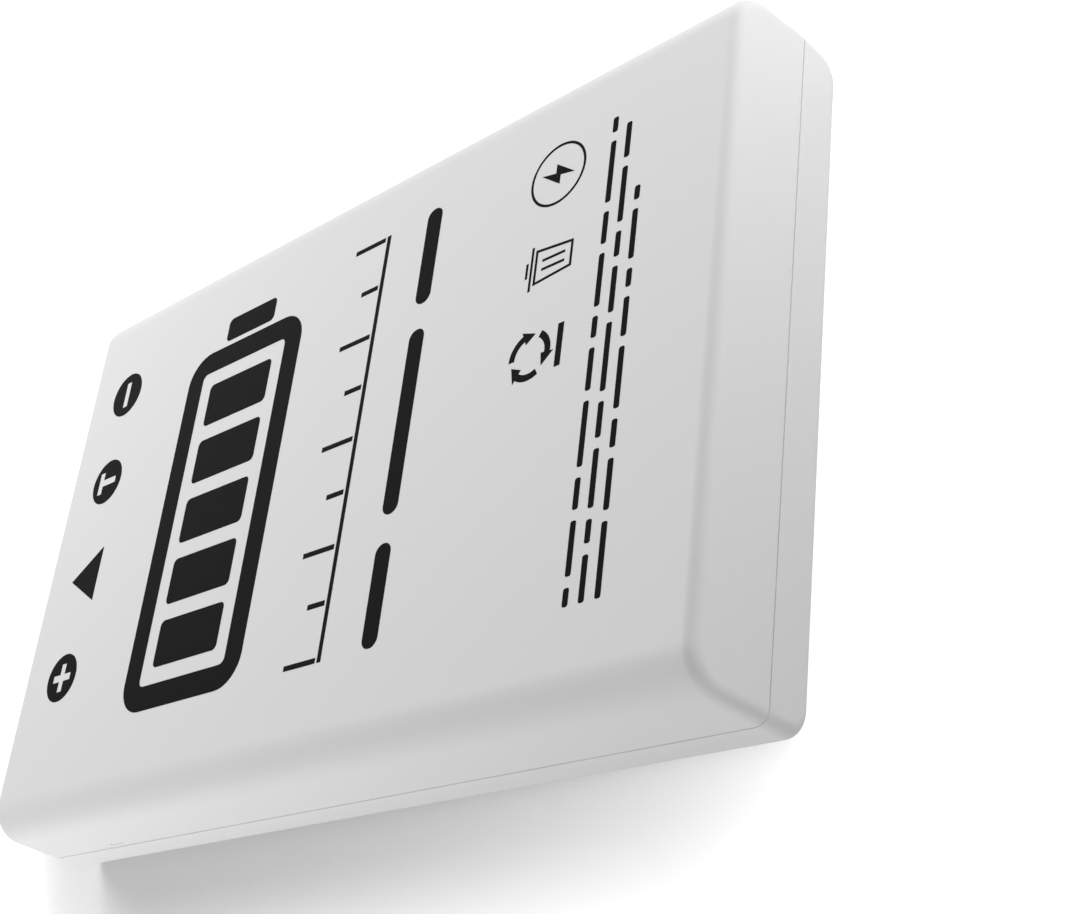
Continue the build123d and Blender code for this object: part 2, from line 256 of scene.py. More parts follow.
class StageSettings(bpy.types.PropertyGroup):
    """Camera, floor and light"""

    camera_place: place_prop("Camera place", "Where the camera stands", (70.433, -43.139, 58.405))
    camera_turn: turn_prop("Camera turn", "Turn of the camera about X, Y and Z", (32.854, 45.476, 10.157))
    lens: FloatProperty(name="Lens", description="Focal length", default=60.25, unit="CAMERA")
    sensor: FloatProperty(name="Sensor", description="Width of the sensor", default=36, unit="CAMERA")
    shift_x: level_prop("Shift X", "Room in the frame to the right of the object", 0.0769)
    shift_y: level_prop("Shift Y", "Room in the frame above the object", 0.05)
    clip_start: length_prop("Clip start", "Nearest distance that the camera shows", 1)
    floor_size: length_prop("Floor size", "Side of the floor", 4000)
    floor_grey: level_prop("Floor grey", "Level of the floor's own colour", 0.8)
    near_lift: level_prop("Near lift", "White added to the floor for the camera, by the object", 0.8)
    far_lift: level_prop("Far lift", "White added to the floor for the camera, far away", 0.89)
    near_reach: length_prop("Near reach", "Where the lift begins to rise", 60)
    far_reach: length_prop("Far reach", "Where the lift is full", 300)
    # Painted shadow of the object in the floor's white lift: its reach, its strength at the contact end and
    # at the plain end, and the side it is cast from
    painted_shadow_reach: length_prop("Shade reach", "How far the object shades the lift", 9)
    painted_shadow_depth: level_prop("Shade depth", "Strength of that shade at the contact end", 6.0)
    painted_shadow_fade: level_prop("Shade fade", "Strength of that shade at the plain end", 0.4)
    painted_shadow_from: vector_prop("Shade from", "Side the lift comes from", (0.75, 0.55, 0.35), "DIRECTION")
    sky: level_prop("Sky", "Level of the even light", 0.14)
    key_place: place_prop("Key place", "Main soft light", (-130, 90, 110))
    key_size: length_prop("Key size", "Side of the main light", 120)
    key_power: power_prop("Key power", "Main light", 0.263)
    end_place: place_prop("End place", "Soft light on the plain end", (70, 60, 30))
    end_size: length_prop("End size", "Side of the end light", 40)
    end_power: power_prop("End power", "End light", 0.0323)
    side_place: place_prop("Side place", "Soft light on the near side", (-40, -90, 20))
    side_size: length_prop("Side size", "Side of the side light", 50)
    side_power: power_prop("Side power", "Side light", 0.034)
    fill_place: place_prop("Fill place", "Weak light on the near corner", (200, -150, 150))
    fill_size: length_prop("Fill size", "Side of the fill light", 160)
    fill_power: power_prop("Fill power", "Fill light", 0.171)


# Meshes


def near(value, target):
    return abs(value - target) < TOUCH


def on_level(edge, height):
    return all(near(vert.co.z, height) for vert in edge.verts)


def bevel(bm, geom, offset, steps, affect="EDGES"):
    kind = {"offset_type": "OFFSET", "affect": affect, "profile": ROUND, "clamp_overlap": False}
    return bmesh.ops.bevel(bm, geom=geom, offset=offset, segments=steps, material=-1, **kind)


def block(length, width, low, high):
    """Box centred on the length and width, between two heights."""
    bm = bmesh.new()
    place = Matrix.Translation((0, 0, (low + high) / 2))
    bmesh.ops.create_cube(bm, size=1, matrix=place @ Matrix.Diagonal((length, width, high - low, 1)))
    bm.normal_update()
    return bm


def open_levels(bm, *heights):
    """Takes away the flat faces at these heights and leaves their edges."""
    flat = [f for f in bm.faces if any(all(near(v.co.z, h) for v in f.verts) for h in heights)]
    bmesh.ops.delete(bm, geom=flat, context="FACES_ONLY")


def drafted_form(length, width, rim, face, draft, long_radius, end_radius, sizes):
    """Drafted block, open at the rim: its long edges are rounded first, then the outlines of its ends."""
    bm = block(length, width, min(rim, face), max(rim, face))
    lean = abs(face - rim) * math.tan(draft)
    face_verts = [v for v in bm.verts if near(v.co.z, face)]
    bmesh.ops.scale(bm, verts=face_verts, vec=(1 - 2 * lean / length, 1 - 2 * lean / width, 1))
    setback = math.tan((math.pi / 2 - draft) / 2)
    long_edges = [e for e in bm.edges if on_level(e, face) and near(e.verts[0].co.y, e.verts[1].co.y)]
    bevel(bm, long_edges, long_radius * setback, sizes.long_steps)
    bm.normal_update()
    ends = [f for f in bm.faces if abs(f.normal.x) > END_FACING]
    outlines = {e for f in ends for e in f.edges if not on_level(e, rim)}
    bevel(bm, list(outlines), end_radius * setback, sizes.end_steps)
    open_levels(bm, rim)
    return bm


def upright_tube(length, width, radius, low, high, sizes):
    """Straight wall with rounded corners, open at both heights."""
    bm = block(length, width, low, high)
    bevel(bm, [e for e in bm.edges if not near(e.verts[0].co.z, e.verts[1].co.z)], radius, sizes.end_steps)
    open_levels(bm, low, high)
    return bm


def turn_in(bm):
    bmesh.ops.reverse_faces(bm, faces=bm.faces)


def joined(*forms):
    bm = bmesh.new()
    for form in forms:
        mesh = bpy.data.meshes.new("form")
        form.to_mesh(mesh)
        form.free()
        bm.from_mesh(mesh)
        bpy.data.meshes.remove(mesh)
    return bm


def moulded_shell(sizes, rim, face, inner_face, draft, long_radius, end_radius, lap):
    """One half of the housing: outer form, lap step and pocket, joined into one closed wall."""
    upper = face > rim
    step = sizes.seam_height - sizes.seam_gap / 2 + sizes.lip_height
    lean = (step - rim) * math.tan(draft) * (-1 if upper else 1)
    inner_length = sizes.length - 2 * sizes.side_wall + 2 * lean
    inner_width = sizes.width - 2 * sizes.side_wall + 2 * lean
    lap_radius = sizes.pocket_end_radius + sizes.side_wall - lap
    outer = drafted_form(sizes.length, sizes.width, rim, face, draft, long_radius, end_radius, sizes)
    tube = upright_tube(sizes.length - 2 * lap, sizes.width - 2 * lap, lap_radius, rim, step, sizes)
    pocket_radii = sizes.pocket_radius, sizes.pocket_end_radius
    pocket = drafted_form(inner_length, inner_width, step, inner_face, draft, *pocket_radii, sizes)
    turn_in(pocket)
    if upper:
        turn_in(tube)
    bm = joined(outer, tube, pocket)
    for height in (rim, step):
        bmesh.ops.bridge_loops(bm, edges=[e for e in bm.edges if e.is_boundary and on_level(e, height)])
    bmesh.ops.recalc_face_normals(bm, faces=bm.faces)
    return bm


def middle_across(node):
    low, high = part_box(node)
    return (low.y + high.y) / 2


def window_cutter(sizes, foot):
    """Openings in the contact end, one before each contact, round at the top."""
    cutters = []
    top = sizes.seam_height - sizes.seam_gap / 2 + sizes.window_height
    for node in CONTACTS:
        bm = block(2 * sizes.window_reach, sizes.window_width, foot, top)
        upper = [e for e in bm.edges if on_level(e, top) and near(e.verts[0].co.y, e.verts[1].co.y)]
        bevel(bm, upper, sizes.window_radius, WINDOW_STEPS)
        bmesh.ops.translate(bm, verts=bm.verts, vec=(-sizes.length / 2, middle_across(node), 0))
        cutters.append(bm)
    return joined(*cutters)


def board_guides(sizes, root, tip):
    """Two ribs that stand behind the board, from inside a flat wall to their tips."""
    board_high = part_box("circuit_board")[1]
    x = board_high.x + sizes.guide_clearance + sizes.guide_depth / 2
    y = board_high.y - sizes.guide_inset
    ribs = []
    for side in (-1, 1):
        bm = block(sizes.guide_depth, sizes.guide_width, min(root, tip), max(root, tip))
        bmesh.ops.translate(bm, verts=bm.verts, vec=(x, side * y, 0))
        ribs.append(bm)
    return joined(*ribs)


def gate_cutter(sizes):
    """Shallow slot with round ends in the near long wall, where the moulding was fed."""
    low = sizes.gate_height - sizes.gate_width / 2
    bm = block(sizes.gate_length, 2 * sizes.gate_depth, low, low + sizes.gate_width)
    inward = [e for e in bm.edges if not near(e.verts[0].co.y, e.verts[1].co.y)]
    bevel(bm, inward, sizes.gate_corner, GATE_STEPS)
    bmesh.ops.translate(bm, verts=bm.verts, vec=(sizes.gate_place, -sizes.width / 2, 0))
    return bm


def mesh_object(name, bm, smooth=True):
    for face in bm.faces:
        face.smooth = smooth
    mesh = bpy.data.meshes.new(name)
    bm.to_mesh(mesh)
    bm.free()
    piece = bpy.data.objects.new(name, mesh)
    bpy.context.scene.collection.objects.link(piece)
    return piece


def add_piece(name, bm, material, smooth=True):
    piece = mesh_object(name, bm, smooth)
    piece.data.materials.append(material)
    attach(piece, "root")
    return piece


def combine(piece, form, operation):
    """Joins the form to the piece, or cuts it out of the piece, for good."""
    other = mesh_object("other", form)
    change = piece.modifiers.new("change", "BOOLEAN")
    change.operation = operation
    change.solver = "EXACT"
    change.object = other
    result = bpy.data.meshes.new_from_object(piece.evaluated_get(bpy.context.evaluated_depsgraph_get()))
    whole = piece.data
    piece.modifiers.clear()
    piece.data = result
    bpy.data.meshes.remove(whole)
    bpy.data.objects.remove(other)
    result.name = piece.name


def ease_rims(piece, sizes):
    """Rounds the sharp rims a little and keeps the flat walls evenly shaded."""
    ease = piece.modifiers.new("rim_ease", "BEVEL")
    ease.limit_method = "ANGLE"
    ease.angle_limit = EASE_ANGLE
    ease.width = sizes.rim_ease
    ease.segments = EASE_STEPS
    ease.profile = ROUND
    ease.harden_normals = True
    flats = piece.modifiers.new("flat_shading", "WEIGHTED_NORMAL")
    flats.keep_sharp = True
    flats.weight = FLAT_WEIGHT


class Print:
    """Flat shapes on the face: u runs across the width, v from its middle towards the contacts."""

    CORNER_STEPS = 8
    CIRCLE_STEPS = 96

    def __init__(self, scene):
        self.ink_height = scene.battery_marks.ink_height
        self.face = scene.battery_mouldings.thickness - self.ink_height
        self.material = ink_finish(scene.battery_finishes)
        self.bm = bmesh.new()

    def bar(self, u, v, length, height, radius=0.0):
        place = Matrix.Translation((u, v, 0)) @ Matrix.Diagonal((length, height, 1, 1))
        verts = bmesh.ops.create_grid(self.bm, x_segments=1, y_segments=1, size=0.5, matrix=place)["verts"]
        if radius:
            verts = bevel(self.bm, verts, radius, self.CORNER_STEPS, "VERTICES")["verts"]
        return verts[0].link_faces[0]

    def hollow(self, face, stroke):
        """Leaves only an outline of the face."""
        self.bm.normal_update()
        bmesh.ops.inset_region(
            self.bm, faces=[face], thickness=stroke, use_boundary=True, use_even_offset=True
        )
        bmesh.ops.delete(self.bm, geom=[face], context="FACES")

    def outline(self, points):
        verts = [self.bm.verts.new((u, v, 0)) for u, v in points]
        return verts, [self.bm.edges.new(ends) for ends in zip(verts, verts[1:] + verts[:1])]

    def polygon(self, points):
        return self.bm.faces.new(self.outline(points)[0])

    def circle(self, u, v, radius):
        place = Matrix.Translation((u, v, 0))
        steps = self.CIRCLE_STEPS
        made = bmesh.ops.create_circle(self.bm, cap_ends=False, radius=radius, segments=steps, matrix=place)
        return list({edge for vert in made["verts"] for edge in vert.link_edges})

    def ring(self, u, v, radius, stroke):
        edges = self.circle(u, v, radius - stroke / 2) + self.circle(u, v, radius + stroke / 2)
        bmesh.ops.bridge_loops(self.bm, edges=edges)

    def open_disc(self, u, v, radius, sign):
        """Disc with a sign left open in it."""
        edges = self.circle(u, v, radius) + self.outline([(u + a, v + b) for a, b in sign])[1]
        bmesh.ops.triangle_fill(self.bm, use_beauty=True, use_dissolve=False, edges=edges)

    def finish(self, name):
        """Raises the shapes by the height of the ink and stands them on the face."""
        bm = self.bm
        bmesh.ops.recalc_face_normals(bm, faces=bm.faces)
        raised = bmesh.ops.extrude_face_region(bm, geom=list(bm.faces))["geom"]
        tops = [item for item in raised if isinstance(item, bmesh.types.BMVert)]
        bmesh.ops.translate(bm, verts=tops, vec=(0, 0, self.ink_height))
        to_face = Matrix.Translation((0, 0, self.face)) @ Matrix.Rotation(math.pi / 2, 4, "Z")
        bmesh.ops.transform(bm, matrix=to_face, verts=bm.verts)
        bmesh.ops.recalc_face_normals(bm, faces=bm.faces)
        return add_piece(name, bm, self.material, smooth=False)


# Finishes


LEVEL, COLOUR, VECTOR = "NodeSocketFloat", "NodeSocketColor", "NodeSocketVector"


class Nodes:
    """Short hand for building a node tree."""

    def __init__(self, tree):
        self.tree = tree

    def add(self, kind, settings=None, **inputs):
        node = self.tree.nodes.new(kind)
        for name, value in (settings or {}).items():
            setattr(node, name, value)
        for name, value in inputs.items():
            self.feed(node.inputs[name.replace("_", " ")], value)
        return node

    def feed(self, socket, value):
        if isinstance(value, bpy.types.NodeSocket):
            self.tree.links.new(value, socket)
        else:
            socket.default_value = value

    def math(self, operation, *values):
        node = self.add("ShaderNodeMath", {"operation": operation})
        for socket, value in zip(node.inputs, values):
            self.feed(socket, value)
        return node.outputs[0]

    def noise(self, place, scale, detail, roughness=0.5):
        node = self.add("ShaderNodeTexNoise", Vector=place, Scale=scale, Detail=detail, Roughness=roughness)
        return node.outputs["Fac"]

    def ranged(self, value, start, end, low, high):
        """A value that runs from start to end, turned into one that runs from low to high."""
        run = {"From_Min": start, "From_Max": end, "To_Min": low, "To_Max": high}
        return self.add("ShaderNodeMapRange", Value=value, **run).outputs["Result"]

    def scaled(self, colour, factor):
        node = self.add("ShaderNodeVectorMath", {"operation": "SCALE"}, Scale=factor)
        self.feed(node.inputs[0], colour)
        return node.outputs[0]

    def swing(self, source, amount):
        """A noise value turned into a swing about nought."""
        return self.math("MULTIPLY", self.math("SUBTRACT", source, 0.5), amount)


def emptied(owner):
    """Node tree of a material or a world, with nothing in it yet."""
    owner.use_nodes = True
    owner.node_tree.nodes.clear()
    return Nodes(owner.node_tree)


def new_group(name, *inputs):
    """Group that gives a colour, a roughness and a height from these inputs."""
    group = bpy.data.node_groups.new(name, "ShaderNodeTree")
    for label, kind, default in inputs:
        socket = group.interface.new_socket(name=label, in_out="INPUT", socket_type=kind)
        socket.default_value = default
    for label, kind in (("Colour", COLOUR), ("Roughness", LEVEL), ("Height", LEVEL)):
        group.interface.new_socket(name=label, in_out="OUTPUT", socket_type=kind)
    nodes = Nodes(group)
    return group, nodes, nodes.add("NodeGroupInput").outputs, nodes.add("NodeGroupOutput").inputs


def grain_group():
    """Fine moulded grain over a slow mottle, with a few pale specks; grains are counted per metre."""
    group, nodes, given, out = new_group(
        "moulded_grain",
        ("Colour", COLOUR, (0.8, 0.8, 0.8, 1)),
        ("Mottle", LEVEL, 0.02),
        ("Grain", LEVEL, 0.05),
        ("Speck", LEVEL, 0.03),
        ("Grains", LEVEL, 5000),
        ("Roughness", LEVEL, 0.45),
        ("Spread", LEVEL, 0.1),
    )
    mottle_scale = 90
    coarse_share, speck_share = 0.35, 0.15
    rarity, speck_radius = 0.86, 0.09
    place = nodes.add("ShaderNodeTexCoord").outputs["Object"]
    coarse_scale = nodes.math("MULTIPLY", given["Grains"], coarse_share)
    speck_scale = nodes.math("MULTIPLY", given["Grains"], speck_share)
    slow = nodes.noise(place, mottle_scale, detail=3)
    fine = nodes.noise(place, given["Grains"], detail=2, roughness=0.6)
    coarse = nodes.noise(place, coarse_scale, detail=1)
    cells = nodes.add("ShaderNodeTexVoronoi", Vector=place, Scale=speck_scale).outputs
    draw = nodes.add("ShaderNodeSeparateColor", Color=cells["Color"]).outputs["Red"]
    chosen = nodes.math("GREATER_THAN", draw, rarity)
    speck = nodes.math("MULTIPLY", nodes.math("LESS_THAN", cells["Distance"], speck_radius), chosen)
    level = nodes.math("ADD", nodes.swing(slow, given["Mottle"]), nodes.swing(fine, given["Grain"]))
    level = nodes.math("ADD", level, nodes.math("MULTIPLY", speck, given["Speck"]))
    nodes.feed(out["Colour"], nodes.scaled(given["Colour"], nodes.math("ADD", level, 1)))
    nodes.feed(out["Roughness"], nodes.math("ADD", given["Roughness"], nodes.swing(coarse, given["Spread"])))
    nodes.feed(out["Height"], nodes.math("ADD", fine, coarse))
    return group


def drawn_group():
    """Streaks of drawn or rolled metal, with a pattern scale for each axis."""
    group, nodes, given, out = new_group(
        "drawn_streaks",
        ("Colour", COLOUR, (0.8, 0.8, 0.8, 1)),
        ("Stretch", VECTOR, (200, 6000, 6000)),
        ("Streak", LEVEL, 0.12),
        ("Roughness", LEVEL, 0.3),
        ("Spread", LEVEL, 0.17),
    )
    place = nodes.add("ShaderNodeTexCoord").outputs["Object"]
    stretched = nodes.add("ShaderNodeVectorMath", {"operation": "MULTIPLY"})
    nodes.feed(stretched.inputs[0], place)
    nodes.feed(stretched.inputs[1], given["Stretch"])
    streaks = nodes.noise(stretched.outputs[0], 1, detail=4, roughness=0.65)
    level = nodes.math("ADD", nodes.swing(streaks, given["Streak"]), 1)
    nodes.feed(out["Colour"], nodes.scaled(given["Colour"], level))
    nodes.feed(out["Roughness"], nodes.math("ADD", given["Roughness"], nodes.swing(streaks, given["Spread"])))
    nodes.feed(out["Height"], streaks)
    return group


def group_named(name, maker):
    return bpy.data.node_groups.get(name) or maker()


def finish_material(name, group, given, bump, distance, metallic=0.0, specular=0.5):
    """A Principled finish whose colour, roughness and bump come from a node group."""
    if name in bpy.data.materials:
        return bpy.data.materials[name]
    material = bpy.data.materials.new(name)
    nodes = emptied(material)
    surface = nodes.add("ShaderNodeGroup", {"node_tree": group}, **given).outputs
    height = nodes.add("ShaderNodeBump", Strength=bump, Distance=distance * MM, Height=surface["Height"])
    shader = nodes.add(
        "ShaderNodeBsdfPrincipled",
        Base_Color=surface["Colour"],
        Roughness=surface["Roughness"],
        Normal=height.outputs["Normal"],
        Metallic=metallic,
        Specular_IOR_Level=specular,
    )
    nodes.add("ShaderNodeOutputMaterial", Surface=shader.outputs["BSDF"])
    return material


def grained(name, colour, bump=0.3, distance=0.02, specular=0.5, **given):
    group = group_named("moulded_grain", grain_group)
    return finish_material(name, group, {"Colour": (*colour, 1), **given}, bump, distance, specular=specular)


def drawn(name, colour, bump=0.2, distance=0.01, **given):
    group = group_named("drawn_streaks", drawn_group)
    return finish_material(name, group, {"Colour": (*colour, 1), **given}, bump, distance, metallic=1.0)


def case_finish(colours):
    grain = {"Mottle": 0.02, "Grain": 0.06, "Speck": 0.09, "Grains": 6500}
    return grained("case_plastic", colours.plastic, bump=0.25, Roughness=0.5, Spread=0.08, **grain)


def ink_finish(colours):
    grain = {"Mottle": 0.1, "Grain": 0.25, "Speck": 0.4, "Grains": 7000}
    return grained("print_ink", colours.ink, bump=0.2, distance=0.01, specular=0.01, Roughness=0.6, **grain)


# Operators


class BATTERY_OT_case(bpy.types.Operator):
    """Case moulding with the printed face and the contact windows"""

    bl_idname = "battery.case"
    bl_label = "Case"

    def execute(self, context):
        scene = context.scene
        sizes = scene.battery_mouldings
        ceiling = sizes.thickness - sizes.flat_wall
        shell = moulded_shell(
            sizes,
            rim=sizes.seam_height + sizes.seam_gap / 2,
            face=sizes.thickness - scene.battery_marks.ink_height,
            inner_face=ceiling,
            draft=sizes.case_draft,
            long_radius=sizes.face_radius,
            end_radius=sizes.case_end_radius,
            lap=sizes.lap_wall,
        )
        piece = add_piece("case_moulding", shell, case_finish(scene.battery_finishes))
        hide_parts("front_case")
        guides = board_guides(sizes, root=ceiling + sizes.flat_wall / 2, tip=ceiling - sizes.guide_height)
        combine(piece, guides, "UNION")
        windows = window_cutter(sizes, foot=sizes.seam_height - sizes.lip_height)
        combine(piece, joined(windows, gate_cutter(sizes)), "DIFFERENCE")
        ease_rims(piece, sizes)
        return {"FINISHED"}


class BATTERY_OT_cover(bpy.types.Operator):
    """Cover moulding with its lip"""

    bl_idname = "battery.cover"
    bl_label = "Cover"

    def execute(self, context):
        scene = context.scene
        sizes = scene.battery_mouldings
        rim = sizes.seam_height - sizes.seam_gap / 2
        shell = moulded_shell(
            sizes,
            rim=rim,
            face=0,
            inner_face=sizes.flat_wall,
            draft=sizes.cover_draft,
            long_radius=sizes.back_radius,
            end_radius=sizes.cover_end_radius,
            lap=sizes.lap_wall + sizes.lap_clearance,
        )
        piece = add_piece("cover_moulding", shell, case_finish(scene.battery_finishes))
        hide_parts("rear_cover")
        guides = board_guides(sizes, root=sizes.flat_wall / 2, tip=sizes.flat_wall + sizes.guide_height)
        combine(piece, guides, "UNION")
        combine(piece, window_cutter(sizes, foot=rim + sizes.seam_gap), "DIFFERENCE")
        ease_rims(piece, sizes)
        return {"FINISHED"}


class BATTERY_OT_marks(bpy.types.Operator):
    """Polarity discs and the arrow that shows which end goes in first"""

    bl_idname = "battery.marks"
    bl_label = "Polarity marks"

    def execute(self, context):
        sizes = context.scene.battery_marks
        discs = Print(context.scene)
        for node, sign in zip(CONTACTS, (self.plus(sizes), self.sense(sizes), self.minus(sizes))):
            discs.open_disc(middle_across(node), sizes.line, sizes.radius, sign)
        discs.finish("polarity_marks")
        arrow = Print(context.scene)
        u, foot = sizes.arrow_across, sizes.line - sizes.arrow_height / 2
        half = sizes.arrow_width / 2
        arrow.polygon([(u - half, foot), (u + half, foot), (u, foot + sizes.arrow_height)])
        arrow.finish("insertion_arrow")
        return {"FINISHED"}

    def minus(self, sizes):
        half, thin = sizes.sign_length / 2, sizes.sign_stroke / 2
        return [(-half, -thin), (half, -thin), (half, thin), (-half, thin)]

    def plus(self, sizes):
        """The corners of one arm, turned into all four."""
        half, thin = sizes.sign_length / 2, sizes.sign_stroke / 2
        points = []
        for quarter in range(4):
            turn = Matrix.Rotation(quarter * math.pi / 2, 2)
            points += [turn @ Vector(corner) for corner in ((half, -thin), (half, thin), (thin, thin))]
        return points

    def sense(self, sizes):
        """Bar with a stem, for the temperature contact."""
        half, thin = sizes.sign_length / 2, sizes.sign_stroke / 2
        wide, under = sizes.sense_width / 2, half - sizes.sign_stroke
        right = [(thin, -half), (thin, under), (wide, under), (wide, half)]
        return right + [(-u, v) for u, v in reversed(right)]


class BATTERY_OT_gauge(bpy.types.Operator):
    """Battery pictogram with its bars"""

    bl_idname = "battery.gauge"
    bl_label = "Gauge"

    def execute(self, context):
        sizes = context.scene.battery_gauge
        gauge = Print(context.scene)
        end = sizes.start + sizes.length
        outline = gauge.bar((sizes.start + end) / 2, sizes.middle, sizes.length, sizes.height, sizes.corner)
        gauge.hollow(outline, sizes.stroke)
        cap_middle = end + sizes.cap_gap + sizes.cap_length / 2
        gauge.bar(cap_middle, sizes.middle, sizes.cap_length, sizes.cap_height, sizes.bar_corner)
        edge = sizes.stroke + sizes.gap
        pitch = (sizes.length - 2 * edge + sizes.gap) / sizes.bars
        for index in range(sizes.bars):
            u = sizes.start + edge + (index + 0.5) * pitch - sizes.gap / 2
            gauge.bar(u, sizes.middle, pitch - sizes.gap, sizes.height - 2 * edge, sizes.bar_corner)
        gauge.finish("charge_pictogram")
        return {"FINISHED"}


class BATTERY_OT_scale(bpy.types.Operator):
    """Fine scale of long and short ticks over a line"""

    bl_idname = "battery.scale"
    bl_label = "Scale"

    def execute(self, context):
        sizes = context.scene.battery_gauge
        scale = Print(context.scene)
        stroke = sizes.scale_stroke
        reach = (sizes.ticks - 1) * sizes.scale_pitch
        first = sizes.start + stroke / 2
        for index in range(sizes.ticks):
            tall = sizes.scale_height * (1 if index % 2 == 0 else sizes.scale_short)
            scale.bar(first + index * sizes.scale_pitch, sizes.scale_foot + tall / 2, stroke, tall)
        scale.bar(first + reach / 2, sizes.scale_foot - stroke, reach + stroke, stroke)
        scale.finish("charge_scale")
        return {"FINISHED"}


class BATTERY_OT_rows(bpy.types.Operator):
    """Plain bars and small dashed rows"""

    bl_idname = "battery.rows"
    bl_label = "Rows"

    BAR_SHARES = (0.25, 0.48, 0.27)  # parts of the room that the bars share
    ROW_SHIFT = 4  # dash lengths passed over from row to row

    def execute(self, context):
        sizes = context.scene.battery_rows
        self.make_bars(context.scene, sizes)
        rows = Print(context.scene)
        for index, end in enumerate((sizes.row_end, sizes.row_end, sizes.last_end)):
            v = sizes.first_row - index * sizes.row_pitch
            self.make_row(rows, sizes, v, end, self.ROW_SHIFT * index)
        rows.finish("small_rows")
        return {"FINISHED"}

    def make_bars(self, scene, sizes):
        bars = Print(scene)
        u = scene.battery_gauge.start
        room = sizes.row_end - u - (len(self.BAR_SHARES) - 1) * sizes.bar_gap
        for share in self.BAR_SHARES:
            length = share * room
            bars.bar(u + length / 2, sizes.bar_place, length, sizes.bar_height, sizes.bar_corner)
            u += length + sizes.bar_gap
        bars.finish("label_bars")

    def make_row(self, rows, sizes, v, end, index):
        """Dashes of uneven lengths up to the end of the row."""
        u = sizes.row_start
        while end - u > 2 * sizes.row_stroke:
            share = index * GOLDEN % 1
            dash = min(sizes.dash_short + share * (sizes.dash_long - sizes.dash_short), end - u)
            rows.bar(u + dash / 2, v, dash, sizes.row_stroke, sizes.row_corner)
            u += dash + sizes.row_gap
            index += 1


class BATTERY_OT_signs(bpy.types.Operator):
    """Small plain signs: a loop of three arrows, a bin, and a bolt in a ring"""

    bl_idname = "battery.signs"
    bl_label = "Signs"

    ARROW_STEPS = 12

    # Half widths of the bin's rim and foot and width of its grip, as parts of the lid's width
    BIN_RIM, BIN_FOOT, BIN_GRIP = 0.4, 0.3, 0.35

    # Ribs of the bin as a part of its body's height
    BIN_RIB = 0.6

    # Half of the bolt as parts of its height; the other half is turned about its middle
    BOLT = ((0.13, 0.5), (-0.29, -0.07), (-0.04, -0.07))

    def execute(self, context):
        sizes = context.scene.battery_signs
        self.make_loop(Print(context.scene), sizes)
        self.make_bin(Print(context.scene), sizes)
        self.make_bolt(Print(context.scene), sizes)
        return {"FINISHED"}

    def make_loop(self, sign, sizes):
        u, v = sizes.loop_across, sizes.line + sizes.loop_rise
        for index in range(3):
            sign.polygon([(u + a, v + b) for a, b in self.arrow(sizes, math.pi / 2 - index * math.tau / 3)])
        sign.bar(u, v - sizes.loop_radius - 2 * sizes.loop_stroke, 2 * sizes.loop_radius, sizes.loop_stroke)
        sign.finish("recycling_loop")

    def arrow(self, sizes, start):
        """One bent arrow that runs clockwise from the start angle."""
        half, wing = sizes.loop_stroke / 2, sizes.loop_head_width / 2

        def at(turn, offset):
            reach = sizes.loop_radius + offset
            return reach * math.cos(start - turn), reach * math.sin(start - turn)

        turns = [sizes.loop_sweep * step / self.ARROW_STEPS for step in range(self.ARROW_STEPS + 1)]
        neck, tip = turns[-1], turns[-1] + sizes.loop_head
        head = [at(neck, wing), at(tip, 0), at(neck, -wing)]
        return [at(turn, half) for turn in turns] + head + [at(turn, -half) for turn in reversed(turns)]

    def make_bin(self, sign, sizes):
        """Outlined body with two ribs; lid and grip lie above it, one line apart."""
        u, line = sizes.bin_across, sizes.stroke
        foot = sizes.line - sizes.bin_height / 2
        rim = foot + sizes.bin_height - 5 * line
        wide, narrow = self.BIN_RIM * sizes.bin_width, self.BIN_FOOT * sizes.bin_width
        body = sign.polygon([(u - narrow, foot), (u + narrow, foot), (u + wide, rim), (u - wide, rim)])
        sign.hollow(body, line)
        for side in (-1, 1):
            sign.bar(u + side * narrow / 3, (foot + rim) / 2, line, self.BIN_RIB * (rim - foot))
        sign.bar(u, rim + 1.5 * line, sizes.bin_width, line)
        sign.bar(u, rim + 3.5 * line, self.BIN_GRIP * sizes.bin_width, line)
        sign.finish("bin_sign")

    def make_bolt(self, sign, sizes):
        u, v, tall = sizes.bolt_across, sizes.line, sizes.bolt_height
        sign.ring(u, v, sizes.ring_radius, sizes.stroke)
        corners = self.BOLT + tuple((-a, -b) for a, b in self.BOLT)
        sign.polygon([(u + a * tall, v + b * tall) for a, b in corners])
        sign.finish("bolt_sign")


